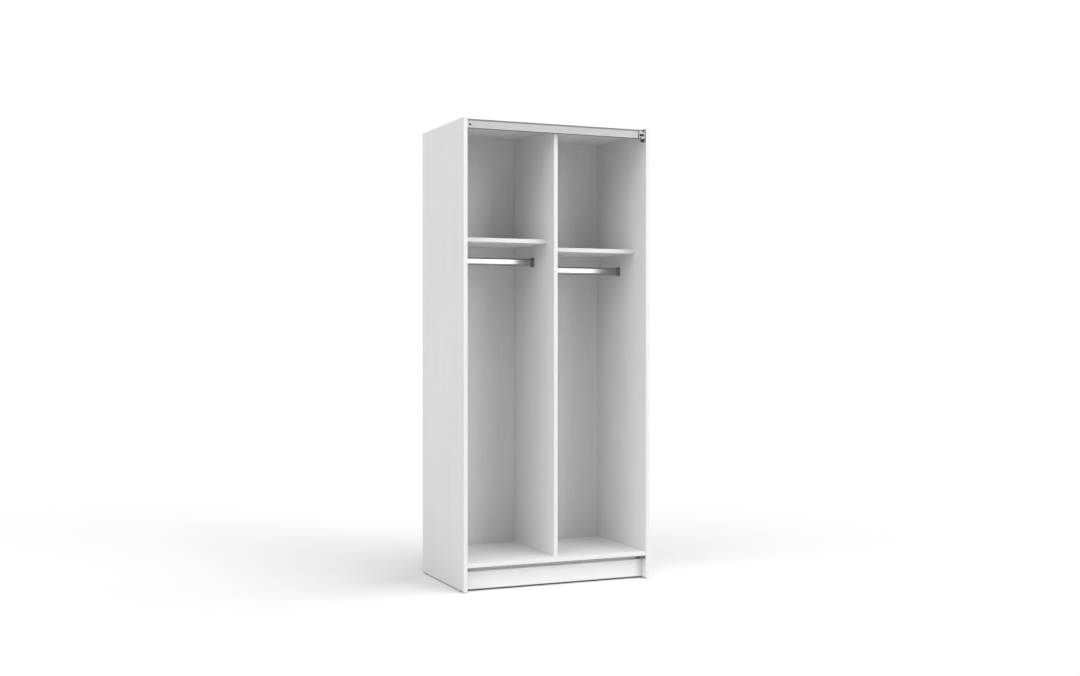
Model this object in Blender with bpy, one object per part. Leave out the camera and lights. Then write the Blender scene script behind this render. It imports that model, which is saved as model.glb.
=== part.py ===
"""Two-bay wardrobe carcass for overlay sliding doors, with the doors lifted off.

Metres, +Z up. X runs across, Y from front to back. The origin is on the floor, under the
middle of the box. A depth is counted backwards from the front edges of the side panels.
"""
from math import cos, pi, sin

import bmesh
import bpy
from mathutils import Matrix, Vector

# Overall size
WIDTH = 0.790
DEPTH = 0.490
HEIGHT = 1.800

# Boards
BOARD = 0.016
SHEET = 0.003
GAP = 0.0003
EDGE_ROUND = 0.0006
SIDE_BOTTOM = 0.005
DIVIDER_DEPTH = 0.033
SHELF_DEPTH = 0.098
BACK_DEPTH = 0.447
GROOVE_DEEP = 0.006
GROOVE_SLACK = 0.0004
FLOOR_TOP = 0.1105
PLINTH_DEPTH = 0.035
PLINTH_BOTTOM = 0.0075
SHELF_TOPS = {"left": 1.3527, "right": 1.3221}

# Hanging rails and their sockets
RAIL_DROP = 0.068
RAIL_DEPTH = 0.240
RAIL_TALL = 0.030
RAIL_THICK = 0.015
RAIL_WALL = 0.001
SOCKET_PLATE = 0.002
SOCKET_COLLAR = 0.012
SOCKET_RIM = 0.0018

# Running rail and cover strip, between the side panels in front of the top panel
RUN_Z = 1.7640
RUN_PLATE = 0.002
RUN_LANES = (0.0098, 0.0195, 0.0210, 0.0307)
RUN_REAR_TOP = 1.7985
COVER_DEPTH = 0.006
COVER_BOTTOM = 1.7605
COVER_TOP = 1.7880
COVER_SCREW_X = 0.367
COVER_SCREW_Z = 1.7735
STOP_LENGTH = 0.008

# Roller hanger
WHEEL_R = 0.011
WHEEL_WIDE = 0.005
AXLE_R = 0.0024
HANGER_PLATE = 0.002
ADJUSTER_Z = 1.7725
BUMPER_Z = 1.7525

# Lower guide rail and its shoe
GUIDE_BOTTOM = 0.0803
GUIDE_FRONT = 0.003
GUIDE_BACK = 0.031
GUIDE_WALL = 0.0014
GUIDE_STOP = 0.005
SHOE_LONG = 0.0222

# Small fittings
CAM_R = 0.0075
CAM_TALL = 0.0125
SCREW_R = 0.0015
SCREW_XS = (-0.280, 0.0, 0.280)
PILOT_R = 0.0018
PILOT_DEEP = 0.012
RUN_SCREW_Z = 1.7900
GUIDE_SCREW_DEPTH = 0.017
GLIDE_PIN = 0.010
GLIDE_PIN_R = 0.0013
GLIDE_HOLE_R = 0.0017
SIDE_GLIDE_DEPTHS = (0.047, 0.441)
PLINTH_GLIDE_XS = (-0.181, 0.181)

SIDES = (("left", -1), ("right", 1))
INNER = WIDTH / 2 - BOARD
CEILING = HEIGHT - BOARD
FLOOR_BOTTOM = FLOOR_TOP - BOARD


def clear_scene():
    for thing in list(bpy.data.objects):
        bpy.data.objects.remove(thing, do_unlink=True)


def y_at(depth):
    """The Y of a depth behind the front edges of the side panels."""
    return depth - DEPTH / 2


def section(steps):
    """A section's (depth, height) corners as (y, z) points."""
    return [(y_at(depth), height) for depth, height in steps]


def stretch(sign, far, long):
    """The two X ends, in order, of a piece that reaches in from +far or -far."""
    return sorted((sign * far, sign * (far - long)))


def material(name, colour, roughness, metallic=0.0):
    made = bpy.data.materials.get(name)
    if made is None:
        made = bpy.data.materials.new(name)
        made.use_nodes = True
        shader = made.node_tree.nodes["Principled BSDF"]
        shader.inputs["Base Color"].default_value = (*colour, 1.0)
        shader.inputs["Roughness"].default_value = roughness
        shader.inputs["Metallic"].default_value = metallic
    return made


def melamine():
    return material("white_melamine", (0.86, 0.86, 0.86), 0.45)


def white_hdf():
    return material("white_hdf", (0.80, 0.80, 0.80), 0.6)


def chrome():
    return material("chrome", (0.82, 0.82, 0.83), 0.12, 1.0)


def socket_metal():
    return material("socket_zinc", (0.55, 0.55, 0.56), 0.3, 1.0)


def silver_strip():
    return material("silver_aluminium", (0.62, 0.62, 0.63), 0.35, 0.8)


def grey_profile():
    return material("grey_profile", (0.22, 0.22, 0.23), 0.5, 0.3)


def black_plastic():
    return material("black_plastic", (0.02, 0.02, 0.02), 0.45)


def black_rubber():
    return material("black_rubber", (0.025, 0.025, 0.025), 0.8)


def zinc_steel():
    return material("zinc_steel", (0.70, 0.70, 0.71), 0.3, 1.0)


def dark_screw():
    return material("black_zinc_screw", (0.05, 0.05, 0.05), 0.4, 0.9)


def glide_plastic():
    return material("grey_glide_plastic", (0.30, 0.30, 0.30), 0.55)


def finish_object(name, shape, finish, place=None, parent=None):
    """Link a bmesh as an object whose origin is at place, or at its middle if none is given."""
    bmesh.ops.recalc_face_normals(shape, faces=shape.faces)
    if place is None:
        spans = [[v.co[i] for v in shape.verts] for i in range(3)]
        place = [(min(span) + max(span)) / 2 for span in spans]
    place = Vector(place)
    bmesh.ops.translate(shape, verts=shape.verts, vec=-place)
    mesh = bpy.data.meshes.new(name)
    shape.to_mesh(mesh)
    shape.free()
    made = bpy.data.objects.new(name, mesh)
    bpy.context.scene.collection.objects.link(made)
    made.location = place
    if parent is not None:
        made.parent = parent
        made.location = place - parent.location
    made.data.materials.append(finish)
    return made


def round_edges(made, width=EDGE_ROUND):
    bevel = made.modifiers.new("edges", "BEVEL")
    bevel.width = width
    bevel.segments = 1
    bevel.limit_method = "ANGLE"
    return made


def board(name, low, high, finish, edge=EDGE_ROUND):
    """A rectangular board between two corners, with eased edges."""
    shape = bmesh.new()
    bmesh.ops.create_cube(shape, size=1.0)
    size = [b - a for a, b in zip(low, high)]
    middle = [(a + b) / 2 for a, b in zip(low, high)]
    bmesh.ops.scale(shape, verts=shape.verts, vec=size)
    bmesh.ops.translate(shape, verts=shape.verts, vec=middle)
    return round_edges(finish_object(name, shape, finish), edge)


def prism(name, axis, outline, low, high, finish, place=None, parent=None):
    """An outline extruded along an axis: (y, z) along X, (x, z) along Y, (x, y) along Z."""
    def corner(point, along):
        values = list(point)
        values.insert("XYZ".index(axis), along)
        return values

    shape = bmesh.new()
    face = shape.faces.new([shape.verts.new(corner(point, low)) for point in outline])
    grown = bmesh.ops.extrude_face_region(shape, geom=[face])
    moved = [item for item in grown["geom"] if isinstance(item, bmesh.types.BMVert)]
    step = Vector([0.0, 0.0, 0.0])
    step["XYZ".index(axis)] = high - low
    bmesh.ops.translate(shape, verts=moved, vec=step)
    return finish_object(name, shape, finish, place, parent)


def circle(radius, count=20):
    turns = [2 * pi * i / count for i in range(count)]
    return [(radius * cos(turn), radius * sin(turn)) for turn in turns]


def stadium(tall, thick, count=8):
    """A flat oval with half-round ends, tall along its second direction."""
    radius = thick / 2
    lift = tall / 2 - radius
    points = []
    for end in (0, 1):
        for i in range(count + 1):
            turn = pi * end + pi * i / count
            rise = lift if end == 0 else -lift
            points.append((radius * cos(turn), radius * sin(turn) + rise))
    return points


def stacked(name, rings, place, direction, finish, hollow=False, parent=None):
    """Join outlines stacked along a direction; a hollow one joins its last ring to its first."""
    turn = {"+X": Matrix(((0, 0, 1), (1, 0, 0), (0, 1, 0))),
            "-X": Matrix(((0, 0, -1), (1, 0, 0), (0, 1, 0))),
            "+Y": Matrix(((1, 0, 0), (0, 0, 1), (0, 1, 0))),
            "+Z": Matrix(((1, 0, 0), (0, 1, 0), (0, 0, 1)))}[direction]
    shape = bmesh.new()
    loops = []
    for height, outline in rings:
        points = [turn @ Vector((u, v, height)) + Vector(place) for u, v in outline]
        loops.append([shape.verts.new(point) for point in points])
    pairs = list(zip(loops, loops[1:]))
    if hollow:
        pairs.append((loops[-1], loops[0]))
    else:
        shape.faces.new(loops[0])
        shape.faces.new(loops[-1])
    for first, second in pairs:
        count = len(first)
        for i in range(count):
            j = (i + 1) % count
            shape.faces.new((first[i], first[j], second[j], second[i]))
    made = finish_object(name, shape, finish, place, parent)
    made.data.shade_smooth()
    made.data.set_sharp_from_angle(angle=pi / 5)
    return made


def turned(name, profile, place, direction, finish, parent=None, count=20):
    """A round piece from (height, radius) steps along a direction."""
    rings = [(height, circle(radius, count)) for height, radius in profile]
    return stacked(name, rings, place, direction, finish, parent=parent)


def drill(target, holes):
    """Cut round holes, each (start, direction, radius, depth), and open the start by 1 mm."""
    shape = bmesh.new()
    for start, direction, radius, depth in holes:
        along = Vector(direction).normalized()
        turn = along.to_track_quat("Z", "Y").to_matrix().to_4x4()
        middle = Vector(start) + along * (depth - 0.001) / 2
        bmesh.ops.create_cone(
            shape, cap_ends=True, segments=16, radius1=radius, radius2=radius,
            depth=depth + 0.001, matrix=Matrix.Translation(middle) @ turn)
    mesh = bpy.data.meshes.new(target.name + "_drills")
    shape.to_mesh(mesh)
    shape.free()
    cut_away(target, mesh)


def cut_away(target, mesh):
    cutter = bpy.data.objects.new(mesh.name, mesh)
    bpy.context.scene.collection.objects.link(cutter)
    cutter.hide_render = True
    cutter.display_type = "WIRE"
    cut = target.modifiers.new("holes", "BOOLEAN")
    cut.operation = "DIFFERENCE"
    cut.solver = "EXACT"
    cut.object = cutter


def bays():
    """Name, left face and right face of each bay."""
    return (("left", -INNER, -BOARD / 2), ("right", BOARD / 2, INNER))


def rail_height(side):
    return SHELF_TOPS[side] - BOARD - RAIL_DROP


def build_side(side, sign):
    """A side panel with the groove that holds the back sheet."""
    outer, inner = sign * WIDTH / 2, sign * INNER
    groove = inner + sign * GROOVE_DEEP
    front, rear = y_at(0.0), y_at(DEPTH)
    groove_front = y_at(BACK_DEPTH - GROOVE_SLACK)
    groove_rear = y_at(BACK_DEPTH + SHEET + GROOVE_SLACK)
    outline = [(outer, front), (inner, front), (inner, groove_front), (groove, groove_front),
               (groove, groove_rear), (inner, groove_rear), (inner, rear), (outer, rear)]
    panel = prism(f"side_panel_{side}", "Z", outline, SIDE_BOTTOM, HEIGHT, melamine())
    round_edges(panel)
    middle = sign * (WIDTH - BOARD) / 2
    pins = [((middle, y_at(depth), SIDE_BOTTOM), (0, 0, 1), GLIDE_HOLE_R, GLIDE_PIN + 0.001)
            for depth in SIDE_GLIDE_DEPTHS]
    socket = ((inner, y_at(RAIL_DEPTH), rail_height(side)), (sign, 0, 0), PILOT_R, PILOT_DEEP)
    drill(panel, pins + [socket])


def build_divider():
    low = (-BOARD / 2, y_at(DIVIDER_DEPTH), FLOOR_TOP + GAP)
    high = (BOARD / 2, y_at(BACK_DEPTH) - GAP, CEILING - GAP)
    panel = board("centre_divider", low, high, melamine())
    holes = [((sign * BOARD / 2, y_at(RAIL_DEPTH), rail_height(side)), (-sign, 0, 0), PILOT_R, PILOT_DEEP)
             for side, sign in SIDES]
    drill(panel, holes)


def build_top_and_bottom():
    wide = INNER - GAP
    rear = y_at(BACK_DEPTH) - GAP
    low = (-wide, y_at(DIVIDER_DEPTH), CEILING)
    top = board("top_panel", low, (wide, rear, HEIGHT), melamine())
    drill(top, [((x, y_at(DIVIDER_DEPTH), RUN_SCREW_Z), (0, 1, 0), PILOT_R, 0.015)
                for x in SCREW_XS])
    low = (-wide, y_at(0.0), FLOOR_BOTTOM)
    bottom = board("bottom_panel", low, (wide, rear, FLOOR_TOP), melamine())
    drill(bottom, [((x, y_at(GUIDE_SCREW_DEPTH), FLOOR_BOTTOM), (0, 0, 1), PILOT_R, 0.012)
                   for x in SCREW_XS])


def build_plinths():
    wide = INNER - GAP
    rear_depth = BACK_DEPTH - BOARD
    for name, depth in (("plinth_front", PLINTH_DEPTH), ("plinth_rear", rear_depth)):
        low = (-wide, y_at(depth), PLINTH_BOTTOM)
        high = (wide, y_at(depth + BOARD), FLOOR_BOTTOM - GAP)
        plinth = board(name, low, high, melamine())
        middle = y_at(depth + BOARD / 2)
        drill(plinth, [((x, middle, PLINTH_BOTTOM), (0, 0, 1), GLIDE_HOLE_R, GLIDE_PIN + 0.001)
                       for x in PLINTH_GLIDE_XS])


def build_back_sheets():
    """One sheet behind each bay; they meet behind the divider."""
    reach = INNER + GROOVE_DEEP - 0.001
    seam = 0.0004
    for side, left, right in (("left", -reach, -seam), ("right", seam, reach)):
        low = (left, y_at(BACK_DEPTH), FLOOR_BOTTOM + GAP)
        high = (right, y_at(BACK_DEPTH + SHEET), HEIGHT - GAP)
        board(f"back_sheet_{side}", low, high, white_hdf(), 0.0003)


def build_shelf(side, left, right):
    """A fixed shelf and the cam locks let into its underside."""
    top = SHELF_TOPS[side]
    low = (left + GAP, y_at(SHELF_DEPTH), top - BOARD)
    high = (right - GAP, y_at(BACK_DEPTH) - GAP, top)
    shelf = board(f"shelf_{side}", low, high, melamine())
    spots = [(x, y) for x in (left + 0.034, right - 0.034)
             for y in (y_at(SHELF_DEPTH + 0.055), y_at(BACK_DEPTH - 0.055))]
    drill(shelf, [((x, y, top - BOARD), (0, 0, 1), CAM_R, CAM_TALL) for x, y in spots])
    profile = [(0.0003, CAM_R - 0.0008), (0.0008, CAM_R - GAP), (CAM_TALL - GAP, CAM_R - GAP)]
    for i, (x, y) in enumerate(spots):
        place = (x, y, top - BOARD)
        turned(f"shelf_cam_{side}_{i + 1}", profile, place, "+Z", socket_metal(), count=18)


def build_hanging_rail(side, left, right):
    """An oval tube in two closed sockets, each held by one screw inside the tube."""
    height = rail_height(side)
    outer = stadium(RAIL_TALL, RAIL_THICK)
    inner = stadium(RAIL_TALL - 2 * RAIL_WALL, RAIL_THICK - 2 * RAIL_WALL)
    start = (left + GAP + SOCKET_PLATE + GAP, y_at(RAIL_DEPTH), height)
    long = right - left - 2 * (2 * GAP + SOCKET_PLATE)
    rings = [(0, outer), (long, outer), (long, inner), (0, inner)]
    stacked(f"hanging_rail_{side}", rings, start, "+X", chrome(), hollow=True)
    for end, x, sign in (("left", left, 1), ("right", right, -1)):
        build_socket(f"{side}_bay_{end}", (x + sign * GAP, y_at(RAIL_DEPTH), height), sign)


def build_socket(label, place, sign):
    """A cup with a flange on the board, drilled for the screw that holds it."""
    def oval(grown):
        return stadium(RAIL_TALL + 2 * grown, RAIL_THICK + 2 * grown)

    mouth = SOCKET_PLATE + SOCKET_COLLAR
    recess, collar, rim, flange = oval(GAP), oval(GAP + SOCKET_RIM), oval(0.0040), oval(0.0046)
    rings = [(0, flange), (SOCKET_PLATE - 0.0006, flange), (SOCKET_PLATE, rim), (SOCKET_PLATE, collar),
             (mouth, collar), (mouth, recess), (SOCKET_PLATE, recess)]
    screw = [(-PILOT_DEEP + 0.001, SCREW_R), (SOCKET_PLATE + GAP, SCREW_R), (SOCKET_PLATE + GAP, 0.0036),
             (SOCKET_PLATE + 0.0014, 0.0036), (SOCKET_PLATE + 0.0022, 0.0022)]
    direction = "+X" if sign > 0 else "-X"
    socket = stacked(f"rail_socket_{label}", rings, place, direction, socket_metal())
    drill(socket, [(place, (sign, 0, 0), SCREW_R + GAP, SOCKET_PLATE + 0.001)])
    turned(f"rail_socket_screw_{label}", screw, place, direction, zinc_steel(), count=16)


def build_running_rail():
    """The two-lane rail in front of the top panel, its cover strip, screws and end stops."""
    wide = INNER - GAP
    front, rib_front, rib_rear, rear = RUN_LANES
    outer_front = COVER_DEPTH + 0.002 + GAP
    base = RUN_Z - RUN_PLATE
    back = DIVIDER_DEPTH - GAP
    steps = [(outer_front, base), (back, base), (back, RUN_REAR_TOP), (rear, RUN_REAR_TOP), (rear, RUN_Z),
             (rib_rear, RUN_Z), (rib_rear, RUN_Z + 0.012), (rib_front, RUN_Z + 0.012), (rib_front, RUN_Z),
             (front, RUN_Z), (front, RUN_Z + 0.0145), (outer_front, RUN_Z + 0.0145)]
    rail = prism("running_rail", "X", section(steps), -wide, wide, grey_profile())
    holes = [((x, y_at(rear), RUN_SCREW_Z), (0, 1, 0), SCREW_R + GAP, 0.004) for x in SCREW_XS]
    cover_holes = [((sign * COVER_SCREW_X, y_at(COVER_DEPTH), COVER_SCREW_Z), (0, 1, 0), 0.0018, 0.005)
                   for _, sign in SIDES]
    drill(rail, holes + cover_holes)
    build_cover_strip(wide, cover_holes)
    screw = [(-0.0018, 0.0022), (-0.0010, 0.0030), (-GAP, 0.0030), (-GAP, SCREW_R), (0.0165, SCREW_R)]
    for i, x in enumerate(SCREW_XS):
        place = (x, y_at(rear), RUN_SCREW_Z)
        turned(f"running_rail_screw_{i + 1}", screw, place, "+Y", dark_screw(), count=16)
    screw = [(-0.0015, 0.0026), (-0.0009, 0.0034), (-GAP, 0.0034), (-GAP, 0.0015), (0.0042, 0.0015)]
    for side, sign in SIDES:
        place = (sign * COVER_SCREW_X, y_at(COVER_DEPTH), COVER_SCREW_Z)
        turned(f"cover_screw_{side}", screw, place, "+Y", dark_screw(), count=16)
        build_run_stop(side, sign, wide)


def build_cover_strip(wide, holes):
    """The silver strip that faces the running rail, with a bead along its lower edge."""
    bead = 0.0005
    lip = COVER_BOTTOM + 0.0012
    steps = [(0.012, COVER_BOTTOM), (COVER_DEPTH, COVER_BOTTOM), (COVER_DEPTH - bead, COVER_BOTTOM + bead),
             (COVER_DEPTH - bead, COVER_BOTTOM + 0.0023), (COVER_DEPTH, COVER_BOTTOM + 0.0030),
             (COVER_DEPTH, COVER_TOP - bead), (COVER_DEPTH + bead, COVER_TOP), (0.0096, COVER_TOP),
             (0.0096, COVER_TOP - 0.0012), (0.008, COVER_TOP - 0.0012), (0.008, lip), (0.012, lip)]
    cover = prism("track_cover_strip", "X", section(steps), -wide, wide, silver_strip())
    drill(cover, holes)


def build_run_stop(side, sign, wide):
    """A rubber block that fills the end of both lanes and straddles the rib between them."""
    front, rib_front, rib_rear, rear = RUN_LANES
    low, over_rib, step_z, top = RUN_Z + GAP, RUN_Z + 0.0123, RUN_Z + 0.021, RUN_Z + 0.033
    steps = [(front + GAP, low), (rib_front - GAP, low), (rib_front - GAP, over_rib),
             (rib_rear + GAP, over_rib), (rib_rear + GAP, low), (rear - GAP, low), (rear - GAP, top),
             (rib_rear + 0.001, top), (rib_rear + 0.001, step_z), (front + GAP, step_z)]
    ends = stretch(sign, wide, STOP_LENGTH)
    prism(f"run_stop_{side}", "X", section(steps), *ends, black_rubber())


def build_hanger():
    """The roller hanger parked at the right-hand stop: it hooks over the cover strip."""
    wheel_x = INNER - GAP - STOP_LENGTH - GAP - WHEEL_R
    wheel_z = RUN_Z + GAP + WHEEL_R
    wheel_front = 0.0133
    axle_place = (wheel_x, y_at(wheel_front), wheel_z)
    hanger = bpy.data.objects.new("hanger_slide_axis", None)
    bpy.context.scene.collection.objects.link(hanger)
    hanger.location = axle_place

    plate_front = 0.002
    plate_rear = plate_front + HANGER_PLATE
    tail_x, tail_r = wheel_x + 0.0068, 0.006
    hook, hook_top, hook_low = 0.006, COVER_TOP + 0.0026, wheel_z - 0.0063
    shoulder, chin = COVER_TOP - 0.0005, COVER_BOTTOM + 0.0035
    outline = [(tail_x + tail_r * cos(turn), BUMPER_Z + tail_r * sin(turn))
               for turn in [pi + pi * i / 8 for i in range(9)]]
    outline += [(tail_x + tail_r, chin), (wheel_x + 0.0153, chin), (wheel_x + 0.0153, shoulder),
                (wheel_x + hook, shoulder), (wheel_x + hook, hook_top), (wheel_x - hook, hook_top),
                (wheel_x - hook, shoulder), (wheel_x - 0.0107, shoulder), (wheel_x - 0.0107, chin),
                (tail_x - tail_r, chin)]
    bracket = prism("hanger_bracket", "Y", outline, y_at(plate_front), y_at(plate_rear),
                    zinc_steel(), axle_place, hanger)
    arm_steps = [(0.003, hook_top - HANGER_PLATE), (0.003, hook_top), (0.013, hook_top), (0.013, hook_low),
                 (0.011, hook_low), (0.011, hook_top - HANGER_PLATE)]
    arm = prism("hanger_arm_shape", "X", section(arm_steps), wheel_x - hook, wheel_x + hook, zinc_steel())
    arm.hide_render = True
    arm.display_type = "WIRE"
    join = bracket.modifiers.new("arm", "BOOLEAN")
    join.operation = "UNION"
    join.solver = "EXACT"
    join.object = arm
    adjusters = (wheel_x - 0.0037, wheel_x + 0.0078)
    drill(bracket, [((x, y_at(plate_front), ADJUSTER_Z), (0, 1, 0), 0.0022, 0.004) for x in adjusters]
          + [((tail_x, y_at(plate_front), BUMPER_Z), (0, 1, 0), 0.0033, 0.004),
             ((wheel_x, y_at(0.011), wheel_z), (0, 1, 0), AXLE_R + GAP, 0.004)])

    screw = [(-0.0016, 0.0026), (-0.0010, 0.0034), (-GAP, 0.0034), (-GAP, 0.0019), (HANGER_PLATE, 0.0019)]
    for i, x in enumerate(adjusters):
        place = (x, y_at(plate_front), ADJUSTER_Z)
        turned(f"hanger_adjuster_screw_{i + 1}", screw, place, "+Y", dark_screw(), hanger, 16)
    behind = HANGER_PLATE + GAP
    bumper = [(-0.0014, 0.0058), (-0.0008, 0.0070), (-GAP, 0.0070), (-GAP, 0.0030), (behind, 0.0030),
              (behind, 0.0070), (0.0085, 0.0070), (0.0091, 0.0062)]
    turned("hanger_bumper", bumper, (tail_x, y_at(plate_front), BUMPER_Z), "+Y", black_rubber(), hanger, 24)
    axle = [(-0.0031, 0.0036), (-0.0026, 0.0036), (-0.0026, AXLE_R), (0.0054, AXLE_R),
            (0.0054, 0.0034), (0.0059, 0.0034)]
    turned("hanger_axle", axle, axle_place, "+Y", zinc_steel(), hanger, 20)
    build_wheel(axle_place, hanger)


def build_wheel(axle_place, hanger):
    """A nylon wheel with a crowned tread, a bore for the axle and five round openings."""
    tread = [(0.0, WHEEL_R - 0.0008), (0.0008, WHEEL_R), (WHEEL_WIDE - 0.0008, WHEEL_R),
             (WHEEL_WIDE, WHEEL_R - 0.0008)]
    bore = AXLE_R + 0.00025
    rings = [(height, circle(radius, 36)) for height, radius in tread]
    rings += [(WHEEL_WIDE, circle(bore, 36)), (0.0, circle(bore, 36))]
    wheel = stacked("hanger_wheel", rings, axle_place, "+Y", black_plastic(), hollow=True, parent=hanger)
    ring_r = 0.0066
    holes = []
    for i in range(5):
        turn = 2 * pi * i / 5
        x, z = axle_place[0] + ring_r * cos(turn), axle_place[2] + ring_r * sin(turn)
        holes.append(((x, axle_place[1], z), (0, 1, 0), 0.0017, WHEEL_WIDE + 0.001))
    drill(wheel, holes)


def build_guide():
    """The grey C rail under the bottom panel, open to the front, with its screws and stops."""
    wide = INNER - GAP
    top = FLOOR_BOTTOM - GAP
    inner_low, inner_high = GUIDE_BOTTOM + GUIDE_WALL, top - GUIDE_WALL
    lip_low, lip_high = GUIDE_BOTTOM + 0.0032, top - 0.0027
    lip_back = GUIDE_FRONT + GUIDE_WALL
    steps = [(GUIDE_FRONT, GUIDE_BOTTOM), (GUIDE_BACK, GUIDE_BOTTOM), (GUIDE_BACK, top), (GUIDE_FRONT, top),
             (GUIDE_FRONT, lip_high), (lip_back, lip_high), (lip_back, inner_high),
             (GUIDE_BACK - GUIDE_WALL, inner_high), (GUIDE_BACK - GUIDE_WALL, inner_low),
             (lip_back, inner_low), (lip_back, lip_low), (GUIDE_FRONT, lip_low)]
    rail = prism("guide_rail", "X", section(steps), -wide, wide, grey_profile())
    drill(rail, [((x, y_at(GUIDE_SCREW_DEPTH), inner_high), (0, 0, 1), SCREW_R + GAP, 0.003)
                 for x in SCREW_XS])
    screw = [(-0.0014, 0.0026), (-0.0009, 0.0032), (-GAP, 0.0032), (-GAP, SCREW_R), (0.0120, SCREW_R)]
    for i, x in enumerate(SCREW_XS):
        place = (x, y_at(GUIDE_SCREW_DEPTH), inner_high)
        turned(f"guide_rail_screw_{i + 1}", screw, place, "+Z", dark_screw(), count=16)
    for side, sign in SIDES:
        ends = stretch(sign, wide, GUIDE_STOP)
        low = (ends[0], y_at(lip_back + GAP), inner_low + GAP)
        high = (ends[1], y_at(GUIDE_BACK - GUIDE_WALL - GAP), inner_high - GAP)
        board(f"guide_stop_{side}", low, high, black_rubber(), 0.0004)
    build_shoe(wide - GUIDE_STOP - GAP, (inner_low, lip_low, lip_high, inner_high), lip_back)


def build_shoe(right, heights, lip_back):
    """The nylon shoe parked at the right-hand stop: a block in the rail, a neck and a front tab."""
    inner_low, lip_low, lip_high, inner_high = heights
    tab_front, tab_back, body_back = 0.0006, 0.0026, 0.0240
    tab_low, tab_high = GUIDE_BOTTOM + 0.0004, FLOOR_BOTTOM - 0.0009
    neck_low, neck_high = lip_low + 0.0006, lip_high - 0.0012
    body_low, body_high = inner_low + 0.0005, inner_high - 0.0021
    body_front = lip_back + 0.0008
    steps = [(tab_front, tab_low), (tab_back, tab_low), (tab_back, neck_low), (body_front, neck_low),
             (body_front, body_low), (body_back, body_low), (body_back, body_high),
             (body_front, body_high), (body_front, neck_high), (tab_back, neck_high),
             (tab_back, tab_high), (tab_front, tab_high)]
    prism("guide_shoe", "X", section(steps), right - SHOE_LONG, right, black_plastic())


def glide(name, place, tall):
    """A round nail-on glide: a foot of the given height and a pin up into the board."""
    profile = [(-tall, 0.0066), (-tall + 0.0008, 0.0075), (-GAP, 0.0075), (-GAP, GLIDE_PIN_R),
               (GLIDE_PIN, GLIDE_PIN_R)]
    turned(name, profile, place, "+Z", glide_plastic(), count=18)


def build_glides():
    for side, sign in SIDES:
        for spot, depth in zip(("front", "rear"), SIDE_GLIDE_DEPTHS):
            place = (sign * (WIDTH - BOARD) / 2, y_at(depth), SIDE_BOTTOM)
            glide(f"side_glide_{side}_{spot}", place, SIDE_BOTTOM)
    for spot, depth in (("front", PLINTH_DEPTH), ("rear", BACK_DEPTH - BOARD)):
        for side, x in zip(("left", "right"), PLINTH_GLIDE_XS):
            glide(f"plinth_glide_{spot}_{side}", (x, y_at(depth + BOARD / 2), PLINTH_BOTTOM), PLINTH_BOTTOM)


def main():
    clear_scene()
    for side, sign in SIDES:
        build_side(side, sign)
    build_divider()
    build_top_and_bottom()
    build_plinths()
    build_back_sheets()
    for side, left, right in bays():
        build_shelf(side, left, right)
        build_hanging_rail(side, left, right)
    build_running_rail()
    build_hanger()
    build_guide()
    build_glides()


main()
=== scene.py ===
"""Looks of the two-bay wardrobe carcass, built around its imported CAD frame.

Metres, +Z up, in the CAD's frame. Each piece is placed by the box of a CAD node, or is that
node's own shape with softer edges. Small round fittings are drawn in millimetres, with +Z
pointing out of the surface they sit on, and then set in place.
"""

from math import cos, pi, radians, sin

import bmesh
import bpy
from mathutils import Matrix, Vector


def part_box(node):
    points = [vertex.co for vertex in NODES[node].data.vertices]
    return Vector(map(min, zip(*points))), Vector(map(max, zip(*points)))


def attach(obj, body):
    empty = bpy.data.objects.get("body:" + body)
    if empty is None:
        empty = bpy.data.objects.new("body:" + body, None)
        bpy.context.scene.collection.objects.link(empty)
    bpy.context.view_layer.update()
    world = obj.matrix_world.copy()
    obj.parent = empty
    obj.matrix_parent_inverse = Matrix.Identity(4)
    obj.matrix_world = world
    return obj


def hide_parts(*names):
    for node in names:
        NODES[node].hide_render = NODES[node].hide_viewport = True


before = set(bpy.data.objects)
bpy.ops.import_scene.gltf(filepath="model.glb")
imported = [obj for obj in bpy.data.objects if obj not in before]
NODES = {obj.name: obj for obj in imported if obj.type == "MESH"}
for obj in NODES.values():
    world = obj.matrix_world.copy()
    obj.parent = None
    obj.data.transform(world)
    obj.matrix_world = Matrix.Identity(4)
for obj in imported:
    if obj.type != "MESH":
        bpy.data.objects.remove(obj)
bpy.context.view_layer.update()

SCENE = bpy.context.scene
MM = 0.001
DOWN, FRONT = (0, 0, -1), (0, -1, 0)
SIDES = (("left", -1), ("right", 1))
SPARE = 0.001           # how far a cutter reaches past what it cuts
WELD = 1e-6             # corners nearer than this are one

# Boards
BAND = 0.0010           # thickness of the front edging
BAND_ROUND = 0.0006     # rounding of its front edges
SEAM = 0.00012          # easing where it meets the board
CORE_EDGE = 0.00015     # easing of a board's cut edges
SHEET_EDGE = 0.0003
GROOVE_SLACK = 0.0004
CAM_HOLE = 0.0075       # radii of the holes
PIN_HOLE = 0.0017
PILOT_HOLE = 0.0018


# ---------------------------------------------------------------- materials

def tree_of(name, metallic=0.0):
    """A new node material, as (material, tree, shader)."""
    made = bpy.data.materials.new(name)
    made.use_nodes = True
    shader = made.node_tree.nodes["Principled BSDF"]
    shader.inputs["Metallic"].default_value = metallic
    return made, made.node_tree, shader


def noise(tree, stretch, scale, detail=2.0):
    """Noise over the piece in metres, drawn out along each axis where stretch is small."""
    where = tree.nodes.new("ShaderNodeTexCoord")
    squeeze = tree.nodes.new("ShaderNodeMapping")
    squeeze.inputs["Scale"].default_value = stretch
    field = tree.nodes.new("ShaderNodeTexNoise")
    field.inputs["Scale"].default_value = scale
    field.inputs["Detail"].default_value = detail
    tree.links.new(where.outputs["Object"], squeeze.inputs["Vector"])
    tree.links.new(squeeze.outputs["Vector"], field.inputs["Vector"])
    return field.outputs["Fac"]


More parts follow.
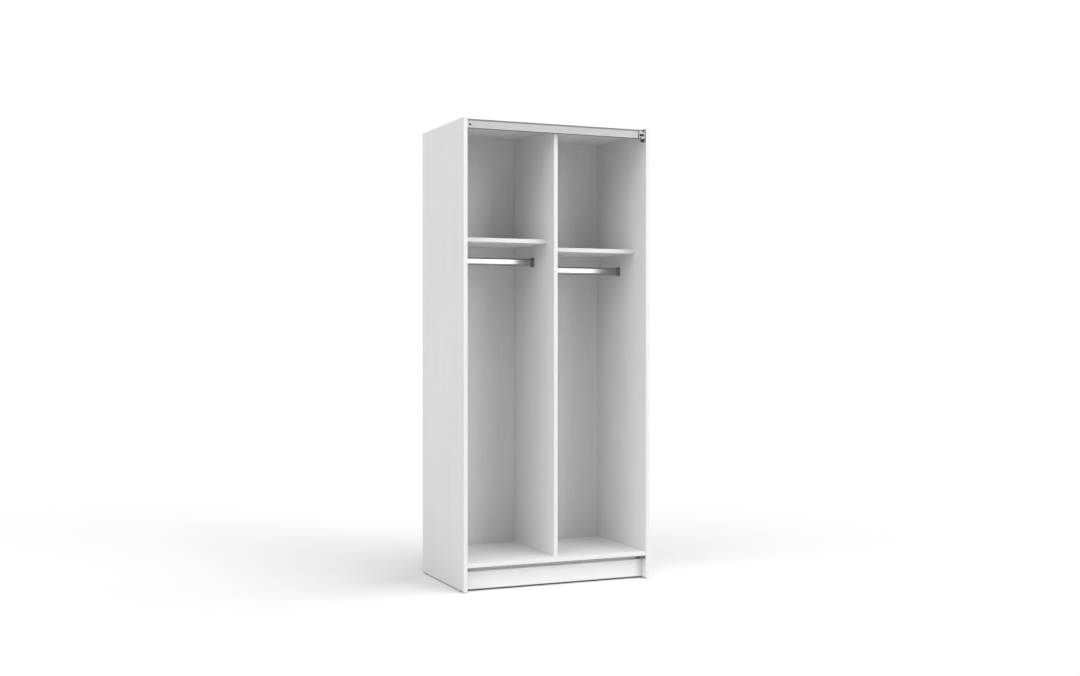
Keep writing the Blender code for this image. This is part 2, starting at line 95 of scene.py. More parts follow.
def spread(tree, value, low, high, start=0.3, end=0.7):
    """A noise value between start and end, mapped to low and high."""
    ranged = tree.nodes.new("ShaderNodeMapRange")
    for socket, number in (("From Min", start), ("From Max", end), ("To Min", low), ("To Max", high)):
        ranged.inputs[socket].default_value = number
    tree.links.new(value, ranged.inputs["Value"])
    return ranged.outputs["Result"]


def blended(tree, first, second, share):
    """Two values mixed, with that share of the second."""
    mixed = tree.nodes.new("ShaderNodeMix")
    mixed.data_type = "FLOAT"
    mixed.inputs["Factor"].default_value = share
    tree.links.new(first, mixed.inputs["A"])
    tree.links.new(second, mixed.inputs["B"])
    return mixed.outputs["Result"]


def coloured(tree, shader, value, dark, light):
    """The base colour runs from dark to light as the value runs from 0 to 1."""
    ramp = tree.nodes.new("ShaderNodeValToRGB")
    ramp.color_ramp.elements[0].color = (*dark, 1.0)
    ramp.color_ramp.elements[1].color = (*light, 1.0)
    tree.links.new(value, ramp.inputs["Fac"])
    tree.links.new(ramp.outputs["Color"], shader.inputs["Base Color"])


def bumped(tree, shader, value, strength, height):
    """The value stands up from the surface, by height in metres times strength."""
    bump = tree.nodes.new("ShaderNodeBump")
    bump.inputs["Strength"].default_value = strength
    bump.inputs["Distance"].default_value = height
    tree.links.new(value, bump.inputs["Height"])
    tree.links.new(bump.outputs["Normal"], shader.inputs["Normal"])


def surface(name, dark, light, rough, metallic=0.0, stretch=(1, 1, 1), *, broad, fine,
            fine_share=0.4, bump=0.1):
    """A finish whose colour and roughness drift at a broad and a fine scale, with a fine bump."""
    made, tree, shader = tree_of(name, metallic)
    wide = noise(tree, stretch, broad, 3.0)
    close = noise(tree, stretch, fine, 2.0)
    mixed = blended(tree, spread(tree, wide, 0, 1), spread(tree, close, 0, 1), fine_share)
    coloured(tree, shader, mixed, dark, light)
    tree.links.new(spread(tree, close, *rough), shader.inputs["Roughness"])
    bumped(tree, shader, close, bump, 0.0001)
    return made


def grey(value, warmth=0.0):
    """A linear colour, neutral unless it is given some warmth."""
    return (value + warmth, value, value - warmth)


def woodgrain_stretch(axis, long):
    """A noise stretch that is long along one axis."""
    return [long if letter == axis else 1.0 for letter in "XYZ"]


def melamine(name, axis, dark, light):
    """White melamine pressed with a faint straight grain along one axis."""
    made, tree, shader = tree_of(name)
    figure = spread(tree, noise(tree, woodgrain_stretch(axis, 0.035), 85, 3.0), 0, 1)
    streak = spread(tree, noise(tree, woodgrain_stretch(axis, 0.02), 420, 2.0), 0, 1)
    pores = noise(tree, woodgrain_stretch(axis, 0.03), 1500, 2.0)
    shade = blended(tree, figure, streak, 0.28)
    coloured(tree, shader, shade, grey(dark), grey(light))
    tree.links.new(spread(tree, pores, 0.40, 0.54), shader.inputs["Roughness"])
    bumped(tree, shader, blended(tree, pores, streak, 0.35), 0.12, 0.0002)
    return made


def make_materials():
    """Every finish, by slot name or, where one slot has several looks, by its own name."""
    along_x = (0.02, 1, 1)
    made = {
        "white_melamine": melamine("melamine_upright", "Z", 0.640, 0.678),
        "melamine_level": melamine("melamine_level", "X", 0.685, 0.722),
        "melamine_plinth": melamine("melamine_plinth", "X", 0.635, 0.672),
        "edging": surface("abs_edging", grey(0.570), grey(0.598), (0.36, 0.46), broad=50, fine=2600,
                          bump=0.06),
        "white_hdf": melamine("lacquered_hdf", "Z", 0.610, 0.648),
        "chrome": surface("chrome_plate", grey(0.30), grey(0.335), (0.19, 0.25), 1.0, along_x,
                          broad=120, fine=1400, bump=0.004),
        "socket_zinc": surface("cast_zinc", grey(0.16), grey(0.22), (0.26, 0.40), 1.0, broad=160,
                               fine=2400, bump=0.12),
        "silver_aluminium": surface("brushed_aluminium", grey(0.215), grey(0.255), (0.40, 0.52), 0.9,
                                    along_x, broad=300, fine=3200, fine_share=0.6, bump=0.12),
        # Darker than the rail's own grey: painted shade for its rear band, which lies in shadow behind
        # the cover strip.
        "running_profile_painted_shade": surface("running_profile_painted_shade", grey(0.125), grey(0.155), (0.40, 0.54), 0.3,
                                   along_x, broad=240, fine=2600, bump=0.1),
        # One guide rail in two tones: painted shade on its front lips and painted light inside its shaded
        # channel, so the band under the bottom panel looks evenly grey.
        "guide_lips_painted_shade": surface("guide_lips_painted_shade", grey(0.17), grey(0.21), (0.40, 0.54), 0.3, along_x,
                              broad=240, fine=2600, bump=0.1),
        "guide_inside_painted_light": surface("guide_inside_painted_light", grey(0.76), grey(0.82), (0.34, 0.48), 0.0, along_x,
                                broad=240, fine=2600, bump=0.1),
        "black_plastic": surface("moulded_nylon", grey(0.042), grey(0.060), (0.36, 0.50),
                                 broad=180, fine=3800, bump=0.15),
        "shoe_plastic": surface("shoe_plastic", grey(0.082), grey(0.104), (0.40, 0.54), broad=180,
                                fine=3800, bump=0.15),
        "black_rubber": surface("rubber", grey(0.014), grey(0.024), (0.68, 0.86), broad=260,
                                fine=3000, bump=0.3),
        "zinc_steel": surface("zinc_plated_steel", grey(0.212, 0.003), grey(0.25), (0.30, 0.44), 0.5,
                              broad=220, fine=2600, bump=0.06),
        "black_zinc_screw": surface("black_zinc", grey(0.008), grey(0.015), (0.40, 0.54), 0.3,
                                    broad=400, fine=3600, bump=0.08),
        "grey_glide_plastic": surface("glide_plastic", grey(0.11), grey(0.15), (0.46, 0.60),
                                      broad=160, fine=3200, bump=0.15),
    }
    made["edging"].node_tree.nodes["Principled BSDF"].inputs["Coat Weight"].default_value = 0.1
    for name in ("black_zinc_screw", "black_rubber"):
        shader = made[name].node_tree.nodes["Principled BSDF"]
        shader.inputs["Specular IOR Level"].default_value = 0.15
    return made


MATERIALS = make_materials()


# ---------------------------------------------------------------- mesh tools

def link_mesh(name, shape):
    """A bmesh becomes an object at the origin."""
    bmesh.ops.recalc_face_normals(shape, faces=shape.faces)
    mesh = bpy.data.meshes.new(name)
    shape.to_mesh(mesh)
    shape.free()
    made = bpy.data.objects.new(name, mesh)
    SCENE.collection.objects.link(made)
    return made


def bake(made):
    """Apply a piece's modifiers, so that its mesh is its final shape, and drop its slivers."""
    graph = bpy.context.evaluated_depsgraph_get()
    mesh = bpy.data.meshes.new_from_object(made.evaluated_get(graph))
    made.modifiers.clear()
    shape = bmesh.new()
    shape.from_mesh(mesh)
    bmesh.ops.dissolve_degenerate(shape, dist=WELD, edges=shape.edges)
    shape.to_mesh(mesh)
    shape.free()
    made.data = mesh
    return made


def carve(made, shape):
    """Cut a bmesh out of a piece."""
    cutter = link_mesh(made.name + "_cutter", shape)
    cut = made.modifiers.new("cut", "BOOLEAN")
    cut.operation = "DIFFERENCE"
    cut.solver = "EXACT"
    cut.object = cutter
    bake(made)
    bpy.data.objects.remove(cutter)


def add_box(shape, low, high):
    """Add a box to a bmesh."""
    size = [b - a for a, b in zip(low, high)]
    middle = [(a + b) / 2 for a, b in zip(low, high)]
    corners = bmesh.ops.create_cube(shape, size=1.0)["verts"]
    bmesh.ops.scale(shape, verts=corners, vec=size)
    bmesh.ops.translate(shape, verts=corners, vec=middle)


def round_edges(shape, edges, width, segments=3):
    """Round some edges of a bmesh."""
    bmesh.ops.bevel(shape, geom=edges, offset=width, offset_type="OFFSET", segments=segments,
                    profile=0.5, affect="EDGES", clamp_overlap=True)


def sharp_edges(shape):
    """The edges where a box's faces meet, and no edge that is already rounded."""
    return [edge for edge in shape.edges if edge.calc_face_angle(0) > radians(60)]


def eased_box(name, low, high, ease, front=None):
    """A board with eased edges; its front edges may be rounder."""
    shape = bmesh.new()
    add_box(shape, low, high)
    if front:
        face_edges = [edge for edge in shape.edges
                      if all(abs(corner.co.y - low[1]) < WELD for corner in edge.verts)]
        round_edges(shape, face_edges, front)
    round_edges(shape, sharp_edges(shape), ease, 2)
    return link_mesh(name, shape)


def softened(node, ease, segments=2):
    """A CAD node's own shape with its edges rounded."""
    shape = bmesh.new()
    shape.from_mesh(NODES[node].data)
    bmesh.ops.remove_doubles(shape, verts=shape.verts, dist=WELD)
    bmesh.ops.dissolve_limit(shape, angle_limit=radians(1), verts=shape.verts, edges=shape.edges)
    made = link_mesh(node + "_shaped", shape)
    made.data.materials.clear()
    rounding = made.modifiers.new("rounding", "BEVEL")
    rounding.width = ease
    rounding.segments = segments
    rounding.limit_method = "ANGLE"
    rounding.angle_limit = radians(40)
    return bake(made)


def circle(radius, count):
    """Evenly spaced points on a circle."""
    turns = [2 * pi * i / count for i in range(count)]
    return [(radius * cos(turn), radius * sin(turn)) for turn in turns]


def stadium(tall, thick, count=20):
    """A flat oval with half-round ends, tall along its second direction."""
    radius = thick / 2
    lift = tall / 2 - radius
    points = []
    for end in (0, 1):
        for i in range(count + 1):
            turn = pi * (end + i / count)
            points.append((radius * cos(turn), radius * sin(turn) + (lift, -lift)[end]))
    return points


def skin(shape, rows, loop=False):
    """Join rows of corners into a closed skin; a loop joins the last row to the first."""
    pairs = list(zip(rows, rows[1:]))
    if loop:
        pairs.append((rows[-1], rows[0]))
    else:
        shape.faces.new(rows[0])
        shape.faces.new(rows[-1])
    for first, second in pairs:
        for i, corner in enumerate(first):
            j = (i + 1) % len(first)
            shape.faces.new((corner, first[j], second[j], second[i]))


def stacked(name, rings, loop=False):
    """A piece skinned over outlines that are stacked along +Z."""
    shape = bmesh.new()
    rows = [[shape.verts.new((u, v, height)) for u, v in outline] for height, outline in rings]
    skin(shape, rows, loop)
    return link_mesh(name, shape)


def turned(name, profile, loop=False, count=48):
    """A round piece from (height, radius) steps, in millimetres."""
    return stacked(name, [(height, circle(radius, count)) for height, radius in profile], loop)


def cross_recess(reach, width, depth):
    """A tapered cross to cut into a screw head whose top is at height 0."""
    def outline(scale):
        near, far = width / 2 * scale, reach * scale
        quarter = [(far, near), (near, near), (near, far)]
        points = []
        for turn in range(4):
            spin = Matrix.Rotation(turn * pi / 2, 2)
            points += [spin @ Vector(corner) for corner in quarter]
        return points

    above, narrowed = 0.4, 0.55
    shape = bmesh.new()
    rows = [[shape.verts.new((x, y, height)) for x, y in outline(scale)]
            for height, scale in ((above, 1.0), (-depth, narrowed))]
    skin(shape, rows)
    return shape


def pegs(spots, radius, low, high, count=32):
    """Upright cylinders to cut round holes with."""
    shape = bmesh.new()
    for x, y in spots:
        place = Matrix.Translation((x, y, (low + high) / 2))
        bmesh.ops.create_cone(shape, cap_ends=True, segments=count, radius1=radius,
                              radius2=radius, depth=high - low, matrix=place)
    return shape


def set_in_place(made, place, out):
    """Take a piece drawn in millimetres to its place, with its +Z along out."""
    turn = Vector(out).to_track_quat("Z", "Y").to_matrix().to_4x4()
    made.data.transform(Matrix.Translation(place) @ turn @ Matrix.Scale(MM, 4))
    return made


def dress(made, slot, body="carcass", nodes=(), material=None, sharp=32):
    """Finish a piece: its material, shading and body; the CAD nodes it stands for are hidden."""
    made.data.materials.clear()
    made.data.materials.append(MATERIALS[material or slot])
    made.data.shade_smooth()
    made.data.set_sharp_from_angle(angle=radians(sharp))
    normals = made.modifiers.new("normals", "WEIGHTED_NORMAL")
    normals.keep_sharp = True
    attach(made, body)
    if nodes:
        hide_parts(*nodes)


def span(node, out):
    """Length in millimetres along out, widest cross size, and the middle of the outer end."""
    low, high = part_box(node)
    out = Vector(out)
    size = high - low
    long = sum(abs(out[i]) * size[i] for i in range(3))
    wide = max(size[i] for i in range(3) if abs(out[i]) < 0.5)
    return long / MM, wide / MM, (low + high) / 2 + out * long / 2


# ---------------------------------------------------------------- boards

def drill(made, *holes):
    """Cut a hole (node, axis, radius) along the box of each node that goes into this piece."""
    past_end = 0.0006
    shape = bmesh.new()
    for node, axis, radius in holes:
        low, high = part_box(node)
        middle = (low + high) / 2
        along = Vector([float(letter == axis) for letter in "XYZ"])
        long = (high - low).dot(along) + past_end
        place = Matrix.Translation(middle) @ along.to_track_quat("Z", "Y").to_matrix().to_4x4()
        bmesh.ops.create_cone(shape, cap_ends=True, segments=40, radius1=radius, radius2=radius,
                              depth=long, matrix=place)
    carve(made, shape)


def build_board(node, material, holes=(), groove=None, edged=True):
    """A melamine board with its front edging, if it has one, as a separate strip."""
    low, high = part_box(node)
    band = BAND if edged else 0.0
    core = eased_box(node + "_board", (low.x, low.y + band, low.z), high, CORE_EDGE)
    if groove:
        shape = bmesh.new()
        add_box(shape, *groove)
        carve(core, shape)
    if holes:
        drill(core, *holes)
    dress(core, "white_melamine", nodes=[node], material=material)
    if edged:
        strip = eased_box(node + "_edging", low, (high.x, low.y + BAND, high.z), SEAM, BAND_ROUND)
        dress(strip, "white_melamine", material="edging")


def build_sides():
    """The side panels, each with a groove for the edge of its back sheet."""
    for side, sign in SIDES:
        low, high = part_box(f"back_sheet_{side}")
        board_low, board_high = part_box(f"side_panel_{side}")
        inner = board_high.x if sign < 0 else board_low.x
        deep = (low.x if sign < 0 else high.x) + sign * SPARE
        ends = sorted((deep, inner - sign * SPARE))
        groove = ((ends[0], low.y - GROOVE_SLACK, board_low.z - SPARE),
                  (ends[1], high.y + GROOVE_SLACK, board_high.z + SPARE))
        holes = [(f"side_glide_{side}_{spot}", "Z", PIN_HOLE) for spot in ("front", "rear")]
        holes.append((f"rail_socket_screw_{side}_bay_{side}", "X", PILOT_HOLE))
        build_board(f"side_panel_{side}", "white_melamine", holes, groove)


def build_boards():
    """The carcass's boards, and the back sheets with their nails."""
    build_sides()
    build_board("centre_divider", "white_melamine", [
        ("rail_socket_screw_left_bay_right", "X", PILOT_HOLE),
        ("rail_socket_screw_right_bay_left", "X", PILOT_HOLE)])
    build_board("top_panel", "melamine_level",
                [(f"running_rail_screw_{i}", "Y", PILOT_HOLE) for i in (1, 2, 3)])
    build_board("bottom_panel", "melamine_level",
                [(f"guide_rail_screw_{i}", "Z", PILOT_HOLE) for i in (1, 2, 3)])
    for spot in ("front", "rear"):
        pins = [(f"plinth_glide_{spot}_{side}", "Z", PIN_HOLE) for side in ("left", "right")]
        build_board(f"plinth_{spot}", "melamine_plinth", pins, edged=False)
    for side in ("left", "right"):
        cams = [(f"shelf_cam_{side}_{i}", "Z", CAM_HOLE) for i in (1, 2, 3, 4)]
        build_board(f"shelf_{side}", "melamine_level", cams)
        low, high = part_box(f"back_sheet_{side}")
        sheet = eased_box(f"back_sheet_{side}_panel", low, high, SHEET_EDGE)
        dress(sheet, "white_hdf", nodes=[f"back_sheet_{side}"])
    build_nails()


def evenly(start, end, count):
    """The middles of equal steps between start and end."""
    return [start + (end - start) * (i + 0.5) / count for i in range(count)]


def build_nails():
    """Domed nail heads that hold each back sheet to the boards it lies against."""
    pitch, head, rise = 0.110, 0.0013, 0.0005
    board_middle, last_x = 0.008, 0.362
    for side, sign in SIDES:
        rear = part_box(f"back_sheet_{side}")[1].y
        near, far = sorted((sign * board_middle, sign * last_x))
        boards = ("bottom_panel", f"shelf_{side}", "top_panel")
        rows = [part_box(board)[0].z + board_middle for board in boards]
        across, up = int((far - near) / pitch) + 1, int((rows[-1] - rows[0]) / pitch)
        spots = [(x, row) for row in rows for x in evenly(near, far, across)]
        spots += [(sign * board_middle, z) for z in evenly(rows[0], rows[-1], up)]
        shape = bmesh.new()
        for x, z in spots:
            add_dome(shape, (x, rear, z), head, rise)
        dress(link_mesh(f"back_nails_{side}", shape), "zinc_steel")


def add_dome(shape, place, radius, rise, count=16):
    """Add a low closed dome that points to the rear."""
    x, y, z = place
    steps = ((0.0, 1.0), (0.55, 0.86), (0.9, 0.5))
    rows = [[shape.verts.new((x + u, y + rise * height, z + v)) for u, v in circle(radius * share, count)]
            for height, share in steps]
    skin(shape, rows)


# ---------------------------------------------------------------- fittings

def dome(radius, low, high, steps=5):
    """(height, radius) steps of a quarter oval from its rim to near its top."""
    turns = [pi / 2 * i / steps for i in range(steps)]
    return [(low + (high - low) * sin(turn), radius * cos(turn)) for turn in turns]


def build_screw(node, out, slot, body="carcass", head=1.3, shank=1.5, recess=0.62):
    """A domed screw with a cross recess, fitted to the box of its node."""
    long, wide, place = span(node, out)
    radius = wide / 2
    tip, point = 2.0, 0.3
    pointed = long >= 3 * head
    profile = [(-long, point), (-long + tip, shank)] if pointed else [(-long, shank)]
    profile += [(-head, shank), (-head, radius)] + dome(radius, -head * 0.62, 0.0)
    made = turned(node + "_detail", profile)
    carve(made, cross_recess(radius * recess, radius * 0.2, head * 0.7))
    set_in_place(made, place, out)
    dress(made, slot, body, [node])


def build_cam(node):
    """A cam lock let into a shelf: a rimmed disc with a large cross slot and a pointer."""
    long, wide, place = span(node, DOWN)
    radius = wide / 2
    profile = [(-long, radius), (-0.35, radius), (0.0, radius - 0.35), (0.0, radius - 1.1),
               (-0.5, radius - 1.4), (-0.5, 0.4)]
    slot_reach, slot_wide, slot_deep, pointer = 3.6, 1.3, 3.0, 0.45
    made = turned(node + "_detail", profile)
    carve(made, cross_recess(slot_reach, slot_wide, slot_deep))
    carve(made, pegs([(radius - 1.0, 0.0)], pointer, -1.0, 1.0, 16))
    set_in_place(made, place, DOWN)
    dress(made, "socket_zinc", nodes=[node])


def build_hanging_rail(side):
    """A chromed oval tube with its two cast sockets."""
    node = f"hanging_rail_{side}"
    low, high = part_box(node)
    size = (high - low) / MM
    wall, lip = 1.0, 0.15
    outer, eased, inner = (stadium(size.z - 2 * less, size.y - 2 * less) for less in (0.0, lip, wall))
    rings = [(0.0, eased), (lip, outer), (size.x - lip, outer), (size.x, eased), (size.x, inner),
             (0.0, inner)]
    tube = stacked(node + "_tube", rings, True)
    set_in_place(tube, (low.x, (low.y + high.y) / 2, (low.z + high.z) / 2), (1, 0, 0))
    dress(tube, "chrome", nodes=[node], sharp=40)
    for end, way in (("left", 1), ("right", -1)):
        build_socket(f"rail_socket_{side}_bay_{end}", (way, 0, 0), size)
        build_screw(f"rail_socket_screw_{side}_bay_{end}", (way, 0, 0), "zinc_steel", head=1.6)


def build_socket(node, out, tube):
    """A cup round the tube's end, with a filleted collar on a rounded flange."""
    long, _, place = span(node, out)
    flange, fillet = (4.6, 4.4, 4.0), (3.4, 2.7, 2.25)
    collar, slack, floor, hole = 2.1, 0.3, 2.0, 1.8

    def oval(grown):
        return stadium(tube.z + 2 * grown, tube.y + 2 * grown)

    steps = [(-long, flange[0]), (-long + 1.1, flange[0]), (-long + 1.6, flange[1]),
             (-long + 1.9, flange[2]), (-long + 2.0, fillet[0]), (-long + 2.2, fillet[1]),
             (-long + 2.8, fillet[2]), (-long + 3.6, collar), (-0.5, collar), (-0.15, collar - 0.15),
             (0.0, collar - 0.5), (0.0, 0.7), (-0.3, slack), (-long + floor, slack)]
    made = stacked(node + "_cast", [(height, oval(grown)) for height, grown in steps])
    carve(made, pegs([(0.0, 0.0)], hole, -long - 1.0, -long + 3.0))
    set_in_place(made, place, out)
    dress(made, "socket_zinc", nodes=[node], sharp=40)


def build_track():
    """The running rail, its silver cover strip, end stops and screws."""
    # The running rail's dark grey is painted shade for its rear band in the shadow behind the cover
    # strip.
    dress(softened("running_rail", 0.00025), "grey_profile", nodes=["running_rail"],
          material="running_profile_painted_shade")
    build_cover_strip()
    for i in (1, 2, 3):
        build_screw(f"running_rail_screw_{i}", FRONT, "black_zinc_screw", head=1.5)
    for side in ("left", "right"):
        stop = f"run_stop_{side}"
        dress(softened(stop, 0.0005, 3), "black_rubber", nodes=[stop])
        build_screw(f"cover_screw_{side}", FRONT, "black_zinc_screw", head=1.2)


def build_cover_strip():
    """The silver strip, with an oblong slot behind each screw that lets it expand."""
    strip = softened("track_cover_strip", 0.00012)
    slot_long, slot_tall = 11.2, 4.8
    slots = bmesh.new()
    for side in ("left", "right"):
        low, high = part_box(f"cover_screw_{side}")
        middle = (low + high) / 2
        outline = [(middle.x + v * MM, middle.z + u * MM) for u, v in stadium(slot_long, slot_tall, 12)]
        skin(slots, [[slots.verts.new((x, y, z)) for x, z in outline]
                     for y in (low.y - SPARE, high.y + SPARE)])
    carve(strip, slots)
    dress(strip, "silver_aluminium", nodes=["track_cover_strip"])


def build_hanger():
    """The roller hanger: stamped bracket, adjusters, guard, riveted axle, bumper and wheel."""
    body = "roller_hanger"
    dress(softened("hanger_bracket", 0.00025), "zinc_steel", body, ["hanger_bracket"])
    for i in (1, 2):
        build_screw(f"hanger_adjuster_screw_{i}", FRONT, "black_zinc_screw", body, 1.3, 1.9)
    build_adjuster_plate(body)
    build_lift_guard(body)
    build_axle(body)
    build_bumper(body)
    build_wheel()


def build_adjuster_plate(body):
    """A thin dark washer plate under both adjuster heads, with an opening between them."""
    first, second = (span(f"hanger_adjuster_screw_{i}", FRONT) for i in (1, 2))
    apart = abs(second[2].x - first[2].x) / MM
    bracket_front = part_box("hanger_bracket")[0].y
    middle = (first[2] + second[2]) / 2
    thick, rim, bevel, opening, screw_hole = 0.28, 5.0, 0.1, 1.5, 2.0
    outline, eased = ([(v, u) for u, v in stadium(apart + 2 * rim - less, 2 * rim - less)]
                      for less in (0.0, 0.3))
    made = stacked("hanger_adjuster_plate", [(0.0, outline), (thick - bevel, outline), (thick, eased)])
    carve(made, pegs([(0.0, 0.0)], opening, -1.0, 1.0))
    carve(made, pegs([(-apart / 2, 0.0), (apart / 2, 0.0)], screw_hole, -1.0, 1.0))
    set_in_place(made, (middle.x, bracket_front, middle.z), FRONT)
    dress(made, "black_zinc_screw", body)


def build_lift_guard(body):
    """A black block pushed onto the bracket's right shoulder, just above the cover strip."""
    inset, plate, above_strip, shoulder_below_strip = 0.0020, 0.002, 0.0004, 0.0005
    wide, tall, deep, lip, wall, ease = 0.0066, 0.0052, 0.0050, 0.0024, 0.0009, 0.0007
    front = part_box("hanger_bracket")[0].y
    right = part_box("hanger_bracket")[1].x - inset
    strip_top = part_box("track_cover_strip")[1].z
    shoulder = strip_top - shoulder_below_strip
    shape = bmesh.new()
    add_box(shape, (right - wide, front - wall, shoulder - lip), (right, front + deep, shoulder + tall))
    round_edges(shape, sharp_edges(shape), ease)
    guard = link_mesh("hanger_lift_guard", shape)
    for start, top in ((front, shoulder), (front + plate, strip_top + above_strip)):
        room = bmesh.new()
        add_box(room, (right - wide - SPARE, start, shoulder - lip - SPARE),
                (right + SPARE, front + deep + SPARE, top))
        carve(guard, room)
    dress(guard, "black_plastic", body, material="black_rubber")


def build_axle(body):
    """The riveted axle, with a dimple in its front head."""
    node = "hanger_axle"
    long, wide, place = span(node, FRONT)
    radius, shaft, head = wide / 2, 2.4, 0.5
    profile = [(-long, radius - 0.5), (-long + 0.2, radius - 0.2), (-long + head, radius - 0.2),
               (-long + head, shaft), (-head, shaft), (-head, radius), (-0.15, radius - 0.25),
               (0.0, radius - 0.8), (0.0, 1.2), (-0.25, 0.9), (-0.25, 0.2)]
    made = set_in_place(turned(node + "_rivet", profile), place, FRONT)
    dress(made, "zinc_steel", body, [node])


def build_bumper(body):
    """A push-in rubber buffer: a domed cap, a neck through the bracket and a ringed body."""
    node = "hanger_bumper"
    long, wide, place = span(node, FRONT)
    radius = wide / 2
    cap, neck, behind = 1.1, 3.0, 3.7
    profile = [(-long, radius - 1.6), (-long + 0.4, radius - 0.5), (-long + 1.2, radius)]
    for ring in (2.4, 4.2):
        profile += [(-long + ring - 0.4, radius), (-long + ring, radius - 0.5),
                    (-long + ring + 0.4, radius)]
    profile += [(-behind - 0.3, radius), (-behind, radius - 0.3), (-behind, neck), (-cap, neck),
                (-cap, radius - 0.2), (-cap + 0.15, radius)]
    profile += dome(radius - 0.05, -cap + 0.35, 0.0, 6)
    made = turned(node + "_buffer", profile)
    pin, pin_long = 1.3, 6.0
    carve(made, pegs([(0.0, 0.0)], pin + 0.1, -pin_long - 0.1, 1.0))
    set_in_place(made, place, FRONT)
    dress(made, "black_rubber", body, [node])
    steps = [(-pin_long, pin - 0.3), (-pin_long + 0.3, pin), (-0.5, pin)] + dome(pin, -0.4, -0.05)
    spread_pin = set_in_place(turned("hanger_bumper_pin", steps), place, FRONT)
    dress(spread_pin, "zinc_steel", body)


def build_wheel():
    """A nylon wheel: crowned tread, thin web with five round openings, and a hub."""
    node = "hanger_wheel"
    long, wide, _ = span(node, FRONT)
    low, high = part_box(node)
    radius, half, bore, web = wide / 2, long / 2, 2.65, 1.5
    profile = [(-half, radius - 0.9), (-half + 0.25, radius - 0.35), (-half + 0.8, radius),
               (half - 0.8, radius), (half - 0.25, radius - 0.35), (half, radius - 0.9),
               (half, radius - 1.7), (web, radius - 2.1), (web, 4.6), (half, 4.2), (half, bore + 0.2),
               (half - 0.2, bore), (-half + 0.2, bore), (-half, bore + 0.2), (-half, 4.2), (-web, 4.6),
               (-web, radius - 2.1), (-half, radius - 1.7)]
    made = turned(node + "_nylon", profile, True, 72)
    ring, opening, openings = 6.7, 1.55, 5
    carve(made, pegs(circle(ring, openings), opening, -half - 1.0, half + 1.0))
    set_in_place(made, (low + high) / 2, FRONT)
    dress(made, "black_plastic", "wheel", [node])


def build_guide():
    """The lower rail with its stops, screws and sliding shoe."""
    build_guide_rail()
    for i in (1, 2, 3):
        build_screw(f"guide_rail_screw_{i}", DOWN, "black_zinc_screw")
    for side in ("left", "right"):
        stop = f"guide_stop_{side}"
        dress(softened(stop, 0.0003, 2), "black_rubber", nodes=[stop])
    build_shoe()


def build_guide_rail():
    """The guide rail, with painted light inside its shaded channel and painted shade on its two front
    lips.
    """
    lip_deep = 0.0004
    rail = softened("guide_rail", 0.0002)
    dress(rail, "grey_profile", nodes=["guide_rail"], material="guide_inside_painted_light")
    rail.data.materials.append(MATERIALS["guide_lips_painted_shade"])
    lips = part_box("guide_rail")[0].y + lip_deep
    for face in rail.data.polygons:
        if all(rail.data.vertices[i].co.y < lips for i in face.vertices):
            face.material_index = 1


def build_shoe():
    """The guide shoe, with upright grip grooves across its front."""
    wide, deep, margin, count = 0.0009, 0.0004, 0.0018, 6
    shoe = softened("guide_shoe", 0.00025)
    low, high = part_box("guide_shoe")
    grooves = bmesh.new()
    for i in range(count):
        x = low.x + (high.x - low.x) * (i + 1) / (count + 1)
        add_box(grooves, (x - wide / 2, low.y - SPARE, low.z + margin),
                (x + wide / 2, low.y + deep, high.z - margin))
    carve(shoe, grooves)
    dress(shoe, "black_plastic", "shoe", ["guide_shoe"], "shoe_plastic")


def build_glide(node):
    """A nail-on glide: a rounded foot with a sunk nail head, and its pin."""
    long, wide, place = span(node, DOWN)
    radius, pin, nail = wide / 2, 10.0, 1.3
    foot = long - pin - 0.3
    profile = [(-long, 0.25), (-long + 1.6, nail), (-foot, nail), (-foot, radius - 0.2),
               (-foot + 0.2, radius), (-1.2, radius), (-0.45, radius - 0.35), (0.0, radius - 1.2),
               (0.0, 2.7), (-0.6, 2.4), (-0.6, 0.3)]
    made = set_in_place(turned(node + "_foot", profile), place, DOWN)
    dress(made, "grey_glide_plastic", nodes=[node])


def build_fittings():
    """Everything that isn't a board."""
    for side in ("left", "right"):
        build_hanging_rail(side)
        for i in (1, 2, 3, 4):
            build_cam(f"shelf_cam_{side}_{i}")
        for spot in ("front", "rear"):
            build_glide(f"side_glide_{side}_{spot}")
            build_glide(f"plinth_glide_{spot}_{side}")
    build_track()
    build_hanger()
    build_guide()


# ---------------------------------------------------------------- studio

def build_floor():
    """A plain pale floor."""
    shape = bmesh.new()
    bmesh.ops.create_grid(shape, x_segments=1, y_segments=1, size=60.0)
    floor = link_mesh("studio_floor", shape)
    paint, _, shader = tree_of("pale_floor")
    shader.inputs["Base Color"].default_value = (0.83, 0.83, 0.83, 1.0)
    shader.inputs["Roughness"].default_value = 0.7
    floor.data.materials.append(paint)


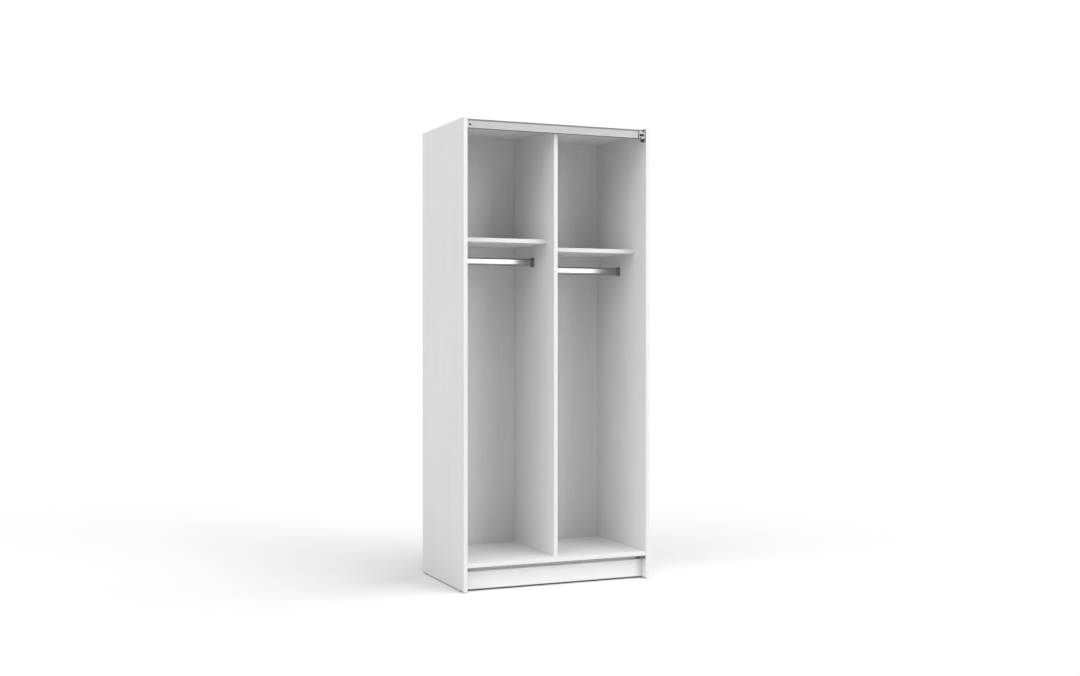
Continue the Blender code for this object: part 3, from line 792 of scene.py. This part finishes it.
def build_camera():
    """The photograph's viewpoint."""
    camera = bpy.data.objects.new("camera", bpy.data.cameras.new("camera"))
    camera.data.lens = 45.67
    camera.data.sensor_width = 36.0
    camera.data.sensor_fit = "HORIZONTAL"
    camera.location = (-2.1709, -5.1066, 0.9917)
    camera.rotation_euler = (radians(90 - 0.2916), 0.0, radians(-23.2563))
    SCENE.collection.objects.link(camera)
    SCENE.camera = camera


# Each light: name, azimuth from the front towards the right, elevation, spread, strength
LIGHTS = (
    ("front_low", 30, 15, 40, 1.47),
    ("front_high", 45, 60, 60, 1.64),
    ("left_low", -62, 29, 60, 1.47),
    ("left_high", -50, 50, 60, 0.67),
    ("overhead", 0, 90, 90, 0.22),
    ("right_high", 90, 60, 40, 0.56),
)
AMBIENT = 0.005
BACKDROP = 1.05


def build_lights():
    """Soft suns, which act like large studio panels."""
    for name, azimuth, elevation, wide, strength in LIGHTS:
        lamp = bpy.data.lights.new(name, "SUN")
        lamp.energy = strength
        lamp.angle = radians(wide)
        turn, rise = radians(azimuth), radians(elevation)
        towards = Vector((sin(turn) * cos(rise), -cos(turn) * cos(rise), sin(rise)))
        holder = bpy.data.objects.new(name, lamp)
        holder.rotation_euler = towards.to_track_quat("Z", "Y").to_euler()
        SCENE.collection.objects.link(holder)


def build_world():
    """A white studio all round, which adds only a little light of its own."""
    world = bpy.data.worlds.new("studio")
    world.use_nodes = True
    tree = world.node_tree
    backdrop = tree.nodes["Background"]
    ambient = tree.nodes.new("ShaderNodeBackground")
    for light, strength in ((backdrop, BACKDROP), (ambient, AMBIENT)):
        light.inputs["Color"].default_value = (1.0, 1.0, 1.0, 1.0)
        light.inputs["Strength"].default_value = strength
    path = tree.nodes.new("ShaderNodeLightPath")
    mix = tree.nodes.new("ShaderNodeMixShader")
    tree.links.new(path.outputs["Is Diffuse Ray"], mix.inputs["Fac"])
    tree.links.new(backdrop.outputs["Background"], mix.inputs[1])
    tree.links.new(ambient.outputs["Background"], mix.inputs[2])
    tree.links.new(mix.outputs["Shader"], tree.nodes["World Output"].inputs["Surface"])
    SCENE.world = world
    SCENE.view_settings.view_transform = "Standard"


build_camera()
build_boards()
build_fittings()
build_floor()
build_lights()
build_world()
